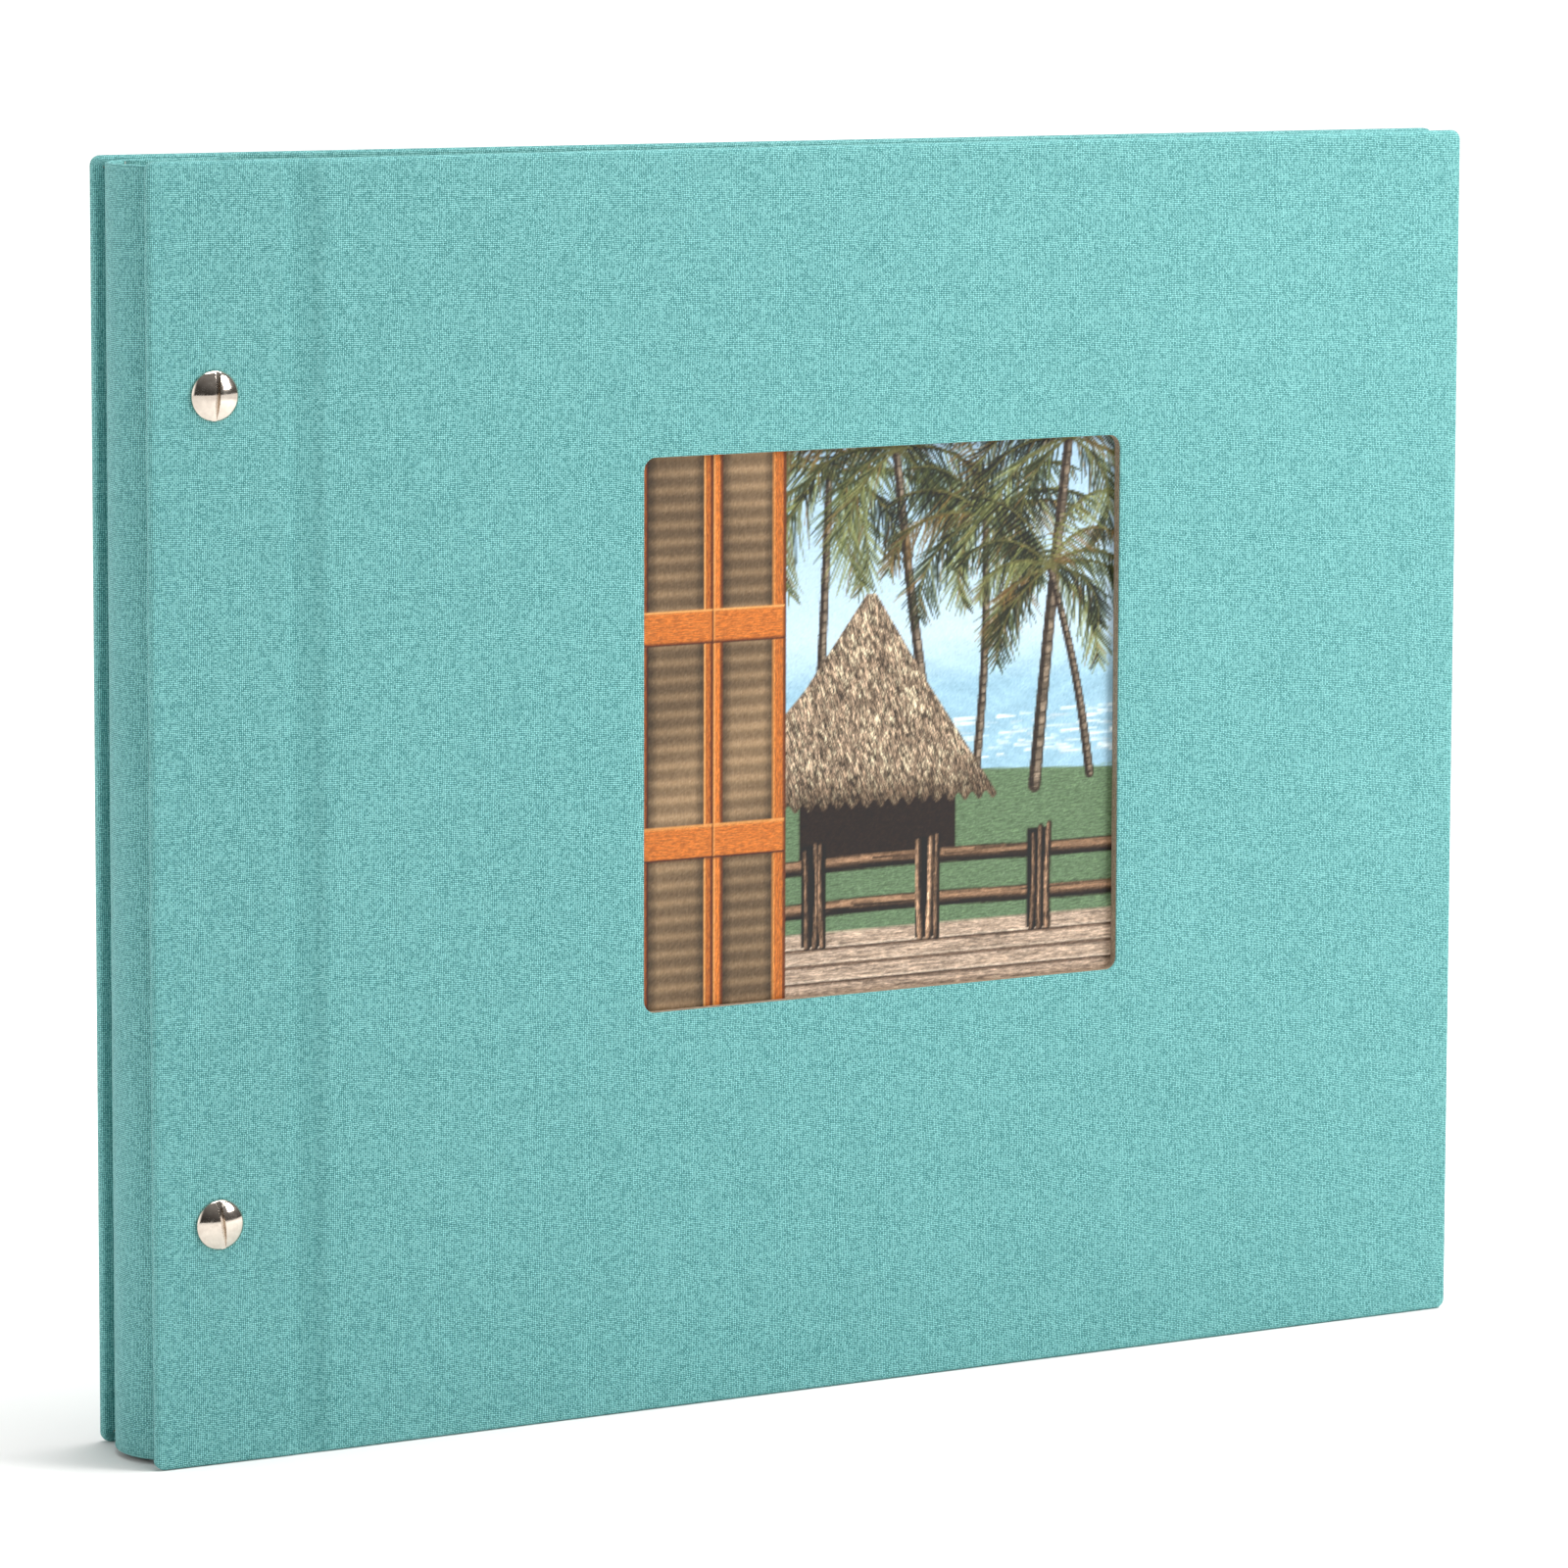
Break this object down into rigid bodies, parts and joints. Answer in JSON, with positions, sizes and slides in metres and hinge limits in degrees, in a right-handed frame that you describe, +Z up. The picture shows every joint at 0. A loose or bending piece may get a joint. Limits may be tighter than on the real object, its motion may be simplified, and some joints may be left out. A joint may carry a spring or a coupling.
{
  "type": "scrapbook album",
  "caption": "Landscape photo album standing closed: linen-covered boards with soft hinge grooves, a picture window, a rounded spine, screw-bound card leaves and glassine interleaves.",
  "frame": {"origin": "middle of the closed album's footprint, on the surface it stands on", "axes": "+X from the binding edge to the fore edge, +Y from the front cover to the back cover, +Z up along the binding"},
  "size_m": [0.3013, 0.0328, 0.25],
  "materials": {
    "linen": "plain-weave book linen, turquoise",
    "greyboard": "raw cut edge",
    "lining_paper": "matt, laid",
    "photo_print": "semi-gloss photographic print",
    "page_card": "matt card",
    "glassine": "translucent, embossed",
    "nickel": "polished nickel plate"
  },
  "bodies": {
    "binding": {"front_hinge_board": "greyboard", "front_hinge_cloth": "linen", "back_hinge_board": "greyboard", "back_hinge_cloth": "linen", "front_joint_cloth": "linen", "back_joint_cloth": "linen", "spine_board": "page_card", "spine_cloth": "linen", "leaf_guards": "page_card", "binding_posts": "nickel"},
    "front_cover": {"front_cover_board": "greyboard", "front_cover_cloth": "linen", "front_cover_lining": "lining_paper", "window_picture": "photo_print", "picture_pocket": "lining_paper"},
    "back_cover": {"back_cover_board": "greyboard", "back_cover_cloth": "linen", "back_cover_lining": "lining_paper"},
    "upper_screw": {"upper_screw": "nickel"},
    "lower_screw": {"lower_screw": "nickel"},
    "leaf_01": {"leaf_01": "page_card", "glassine_01": "glassine"},
    "leaf_02": {"leaf_02": "page_card", "glassine_02": "glassine"},
    "leaf_03": {"leaf_03": "page_card", "glassine_03": "glassine"},
    "leaf_04": {"leaf_04": "page_card", "glassine_04": "glassine"},
    "leaf_05": {"leaf_05": "page_card", "glassine_05": "glassine"},
    "leaf_06": {"leaf_06": "page_card", "glassine_06": "glassine"},
    "leaf_07": {"leaf_07": "page_card", "glassine_07": "glassine"},
    "leaf_08": {"leaf_08": "page_card", "glassine_08": "glassine"},
    "leaf_09": {"leaf_09": "page_card", "glassine_09": "glassine"},
    "leaf_10": {"leaf_10": "page_card", "glassine_10": "glassine"},
    "leaf_11": {"leaf_11": "page_card", "glassine_11": "glassine"},
    "leaf_12": {"leaf_12": "page_card", "glassine_12": "glassine"},
    "leaf_13": {"leaf_13": "page_card", "glassine_13": "glassine"},
    "leaf_14": {"leaf_14": "page_card", "glassine_14": "glassine"},
    "leaf_15": {"leaf_15": "page_card", "glassine_15": "glassine"},
    "leaf_16": {"leaf_16": "page_card", "glassine_16": "glassine"},
    "leaf_17": {"leaf_17": "page_card", "glassine_17": "glassine"},
    "leaf_18": {"leaf_18": "page_card", "glassine_18": "glassine"},
    "leaf_19": {"leaf_19": "page_card", "glassine_19": "glassine"},
    "leaf_20": {"leaf_20": "page_card", "glassine_20": "glassine"}
  },
  "joints": [
    {"name": "front_cover_hinge", "type": "hinge", "parent": "binding", "child": "front_cover", "pos_m": [-0.11725, -0.0147, 0.125], "axis": [0, 0, -1], "range_deg": [0, 172], "deforming": ["front_joint_cloth"]},
    {"name": "back_cover_hinge", "type": "hinge", "parent": "binding", "child": "back_cover", "pos_m": [-0.11725, 0.0147, 0.125], "axis": [0, 0, 1], "range_deg": [0, 172], "deforming": ["back_joint_cloth"]},
    {"name": "upper_screw_turn", "type": "hinge", "parent": "binding", "child": "upper_screw", "pos_m": [-0.13595, -0.0144, 0.2056], "axis": [0, 1, 0], "continuous": true},
    {"name": "lower_screw_turn", "type": "hinge", "parent": "binding", "child": "lower_screw", "pos_m": [-0.13595, -0.0144, 0.0468], "axis": [0, 1, 0], "continuous": true},
    {"name": "leaf_01_crease", "type": "hinge", "parent": "binding", "child": "leaf_01", "pos_m": [-0.11525, -0.01064, 0.125], "axis": [0, 0, -1], "range_deg": [0, 73.13]},
    {"name": "leaf_02_crease", "type": "hinge", "parent": "binding", "child": "leaf_02", "pos_m": [-0.11525, -0.00952, 0.125], "axis": [0, 0, -1], "range_deg": [0, 69.38]},
    {"name": "leaf_03_crease", "type": "hinge", "parent": "binding", "child": "leaf_03", "pos_m": [-0.11525, -0.0084, 0.125], "axis": [0, 0, -1], "range_deg": [0, 65.63]},
    {"name": "leaf_04_crease", "type": "hinge", "parent": "binding", "child": "leaf_04", "pos_m": [-0.11525, -0.00728, 0.125], "axis": [0, 0, -1], "range_deg": [0, 61.88]},
    {"name": "leaf_05_crease", "type": "hinge", "parent": "binding", "child": "leaf_05", "pos_m": [-0.11525, -0.00616, 0.125], "axis": [0, 0, -1], "range_deg": [0, 58.13]},
    {"name": "leaf_06_crease", "type": "hinge", "parent": "binding", "child": "leaf_06", "pos_m": [-0.11525, -0.00504, 0.125], "axis": [0, 0, -1], "range_deg": [0, 54.38]},
    {"name": "leaf_07_crease", "type": "hinge", "parent": "binding", "child": "leaf_07", "pos_m": [-0.11525, -0.00392, 0.125], "axis": [0, 0, -1], "range_deg": [0, 50.63]},
    {"name": "leaf_08_crease", "type": "hinge", "parent": "binding", "child": "leaf_08", "pos_m": [-0.11525, -0.0028, 0.125], "axis": [0, 0, -1], "range_deg": [0, 46.88]},
    {"name": "leaf_09_crease", "type": "hinge", "parent": "binding", "child": "leaf_09", "pos_m": [-0.11525, -0.00168, 0.125], "axis": [0, 0, -1], "range_deg": [0, 43.13]},
    {"name": "leaf_10_crease", "type": "hinge", "parent": "binding", "child": "leaf_10", "pos_m": [-0.11525, -0.00056, 0.125], "axis": [0, 0, -1], "range_deg": [0, 39.38]},
    {"name": "leaf_11_crease", "type": "hinge", "parent": "binding", "child": "leaf_11", "pos_m": [-0.11525, 0.00056, 0.125], "axis": [0, 0, -1], "range_deg": [0, 35.63]},
    {"name": "leaf_12_crease", "type": "hinge", "parent": "binding", "child": "leaf_12", "pos_m": [-0.11525, 0.00168, 0.125], "axis": [0, 0, -1], "range_deg": [0, 31.88]},
    {"name": "leaf_13_crease", "type": "hinge", "parent": "binding", "child": "leaf_13", "pos_m": [-0.11525, 0.0028, 0.125], "axis": [0, 0, -1], "range_deg": [0, 28.13]},
    {"name": "leaf_14_crease", "type": "hinge", "parent": "binding", "child": "leaf_14", "pos_m": [-0.11525, 0.00392, 0.125], "axis": [0, 0, -1], "range_deg": [0, 24.38]},
    {"name": "leaf_15_crease", "type": "hinge", "parent": "binding", "child": "leaf_15", "pos_m": [-0.11525, 0.00504, 0.125], "axis": [0, 0, -1], "range_deg": [0, 20.63]},
    {"name": "leaf_16_crease", "type": "hinge", "parent": "binding", "child": "leaf_16", "pos_m": [-0.11525, 0.00616, 0.125], "axis": [0, 0, -1], "range_deg": [0, 16.88]},
    {"name": "leaf_17_crease", "type": "hinge", "parent": "binding", "child": "leaf_17", "pos_m": [-0.11525, 0.00728, 0.125], "axis": [0, 0, -1], "range_deg": [0, 13.13]},
    {"name": "leaf_18_crease", "type": "hinge", "parent": "binding", "child": "leaf_18", "pos_m": [-0.11525, 0.0084, 0.125], "axis": [0, 0, -1], "range_deg": [0, 9.38]},
    {"name": "leaf_19_crease", "type": "hinge", "parent": "binding", "child": "leaf_19", "pos_m": [-0.11525, 0.00952, 0.125], "axis": [0, 0, -1], "range_deg": [0, 5.63]},
    {"name": "leaf_20_crease", "type": "hinge", "parent": "binding", "child": "leaf_20", "pos_m": [-0.11525, 0.01064, 0.125], "axis": [0, 0, -1], "range_deg": [0, 1.88]}
  ],
  "couplings": [
    {"joint": "leaf_01_crease", "follows": "front_cover_hinge", "ratio": 0.42514},
    {"joint": "leaf_02_crease", "follows": "front_cover_hinge", "ratio": 0.40334},
    {"joint": "leaf_03_crease", "follows": "front_cover_hinge", "ratio": 0.38154},
    {"joint": "leaf_04_crease", "follows": "front_cover_hinge", "ratio": 0.35974},
    {"joint": "leaf_05_crease", "follows": "front_cover_hinge", "ratio": 0.33794},
    {"joint": "leaf_06_crease", "follows": "front_cover_hinge", "ratio": 0.31613},
    {"joint": "leaf_07_crease", "follows": "front_cover_hinge", "ratio": 0.29433},
    {"joint": "leaf_08_crease", "follows": "front_cover_hinge", "ratio": 0.27253},
    {"joint": "leaf_09_crease", "follows": "front_cover_hinge", "ratio": 0.25073},
    {"joint": "leaf_10_crease", "follows": "front_cover_hinge", "ratio": 0.22892},
    {"joint": "leaf_11_crease", "follows": "front_cover_hinge", "ratio": 0.20712},
    {"joint": "leaf_12_crease", "follows": "front_cover_hinge", "ratio": 0.18532},
    {"joint": "leaf_13_crease", "follows": "front_cover_hinge", "ratio": 0.16352},
    {"joint": "leaf_14_crease", "follows": "front_cover_hinge", "ratio": 0.14172},
    {"joint": "leaf_15_crease", "follows": "front_cover_hinge", "ratio": 0.11991},
    {"joint": "leaf_16_crease", "follows": "front_cover_hinge", "ratio": 0.09811},
    {"joint": "leaf_17_crease", "follows": "front_cover_hinge", "ratio": 0.076308},
    {"joint": "leaf_18_crease", "follows": "front_cover_hinge", "ratio": 0.054506},
    {"joint": "leaf_19_crease", "follows": "front_cover_hinge", "ratio": 0.032703},
    {"joint": "leaf_20_crease", "follows": "front_cover_hinge", "ratio": 0.010901}
  ]
}
